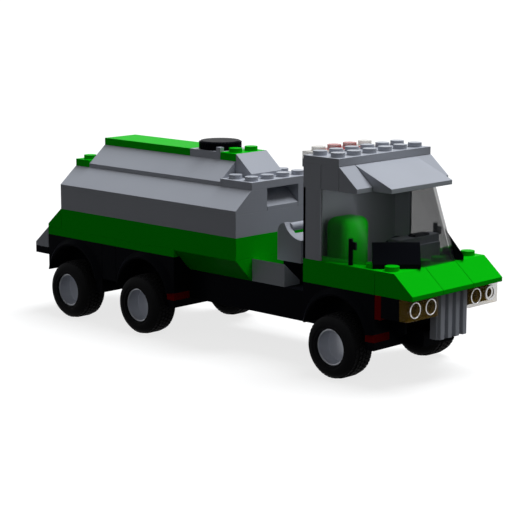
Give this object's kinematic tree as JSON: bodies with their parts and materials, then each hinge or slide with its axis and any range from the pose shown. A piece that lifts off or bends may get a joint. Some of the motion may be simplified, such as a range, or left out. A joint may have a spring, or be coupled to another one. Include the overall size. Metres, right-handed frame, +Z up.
{
  "type": "toy tanker truck",
  "caption": "Studded-brick toy tanker truck with a stepped gray and green tank, a hollow forward cab and rubber-tyred wheels that roll on pins.",
  "frame": {"origin": "on the floor under the middle of the truck's bounding box", "axes": "+X forward, towards the cab; +Y to the truck's left; +Z up"},
  "size_m": [0.1918, 0.0568, 0.0753],
  "materials": {
    "gray_plastic": "smooth moulded, satin gloss",
    "green_plastic": "smooth moulded, satin gloss",
    "black_plastic": "smooth moulded, satin gloss",
    "red_plastic": "smooth moulded, satin gloss",
    "rim_plastic": "smooth moulded, satin gloss",
    "tyre_rubber": "matte rubber with fine tread",
    "smoked_glazing": "smoke-tinted clear plastic",
    "lamp_glazing": "amber-tinted clear plastic",
    "clear_glazing": "clear plastic",
    "red_glazing": "red-tinted clear plastic"
  },
  "bodies": {
    "root": {"chassis_beam": "black_plastic", "carrier_plates": "red_plastic", "front_axle": "black_plastic", "mid_axle": "black_plastic", "rear_axle": "black_plastic", "front_mudguards": "black_plastic", "mid_mudguards": "black_plastic", "rear_mudguards": "black_plastic", "side_blocks": "black_plastic", "bumper_plate_rear": "black_plastic", "bumper_slopes_rear": "gray_plastic", "tank_floor": "green_plastic", "tank_base": "green_plastic", "tank_rear_slopes": "green_plastic", "tank_keel": "green_plastic", "tank_wall": "gray_plastic", "tank_lower_slopes": "gray_plastic", "tank_core": "gray_plastic", "tank_front_slope": "gray_plastic", "tank_deck_front": "gray_plastic", "tank_deck_rear": "green_plastic", "tank_upper_slopes": "gray_plastic", "roof_plates": "green_plastic", "hatch_base": "gray_plastic", "hatch_cap": "black_plastic", "roof_slope": "gray_plastic", "step_slopes": "gray_plastic", "hose_rack": "gray_plastic", "cab_floor": "black_plastic", "cab_sides": "green_plastic", "hood": "green_plastic", "front_bracket": "red_plastic", "headlamps": "lamp_glazing", "grille": "gray_plastic", "bumper_front": "black_plastic", "dashboard": "gray_plastic", "steering_wheel": "black_plastic", "seat": "green_plastic", "cab_pillars": "gray_plastic", "windscreen": "smoked_glazing", "marker_rods": "black_plastic", "deflectors": "black_plastic", "visor_course": "gray_plastic", "visor": "gray_plastic", "cab_roof": "gray_plastic", "lamp_shelf": "gray_plastic", "clear_lamps": "clear_glazing", "red_lamps": "red_glazing"},
    "wheel_front_right": {"rim_front_right": "rim_plastic", "tyre_front_right": "tyre_rubber"},
    "wheel_front_left": {"rim_front_left": "rim_plastic", "tyre_front_left": "tyre_rubber"},
    "wheel_mid_right": {"rim_mid_right": "rim_plastic", "tyre_mid_right": "tyre_rubber"},
    "wheel_mid_left": {"rim_mid_left": "rim_plastic", "tyre_mid_left": "tyre_rubber"},
    "wheel_rear_right": {"rim_rear_right": "rim_plastic", "tyre_rear_right": "tyre_rubber"},
    "wheel_rear_left": {"rim_rear_left": "rim_plastic", "tyre_rear_left": "tyre_rubber"}
  },
  "joints": [
    {"name": "front_right_wheel_spin", "type": "hinge", "parent": "root", "child": "wheel_front_right", "pos_m": [0.064, -0.0205, 0.011], "axis": [0, 1, 0], "continuous": true},
    {"name": "front_left_wheel_spin", "type": "hinge", "parent": "root", "child": "wheel_front_left", "pos_m": [0.064, 0.0205, 0.011], "axis": [0, 1, 0], "continuous": true},
    {"name": "mid_right_wheel_spin", "type": "hinge", "parent": "root", "child": "wheel_mid_right", "pos_m": [-0.032, -0.0205, 0.011], "axis": [0, 1, 0], "continuous": true},
    {"name": "mid_left_wheel_spin", "type": "hinge", "parent": "root", "child": "wheel_mid_left", "pos_m": [-0.032, 0.0205, 0.011], "axis": [0, 1, 0], "continuous": true},
    {"name": "rear_right_wheel_spin", "type": "hinge", "parent": "root", "child": "wheel_rear_right", "pos_m": [-0.072, -0.0205, 0.011], "axis": [0, 1, 0], "continuous": true},
    {"name": "rear_left_wheel_spin", "type": "hinge", "parent": "root", "child": "wheel_rear_left", "pos_m": [-0.072, 0.0205, 0.011], "axis": [0, 1, 0], "continuous": true}
  ]
}
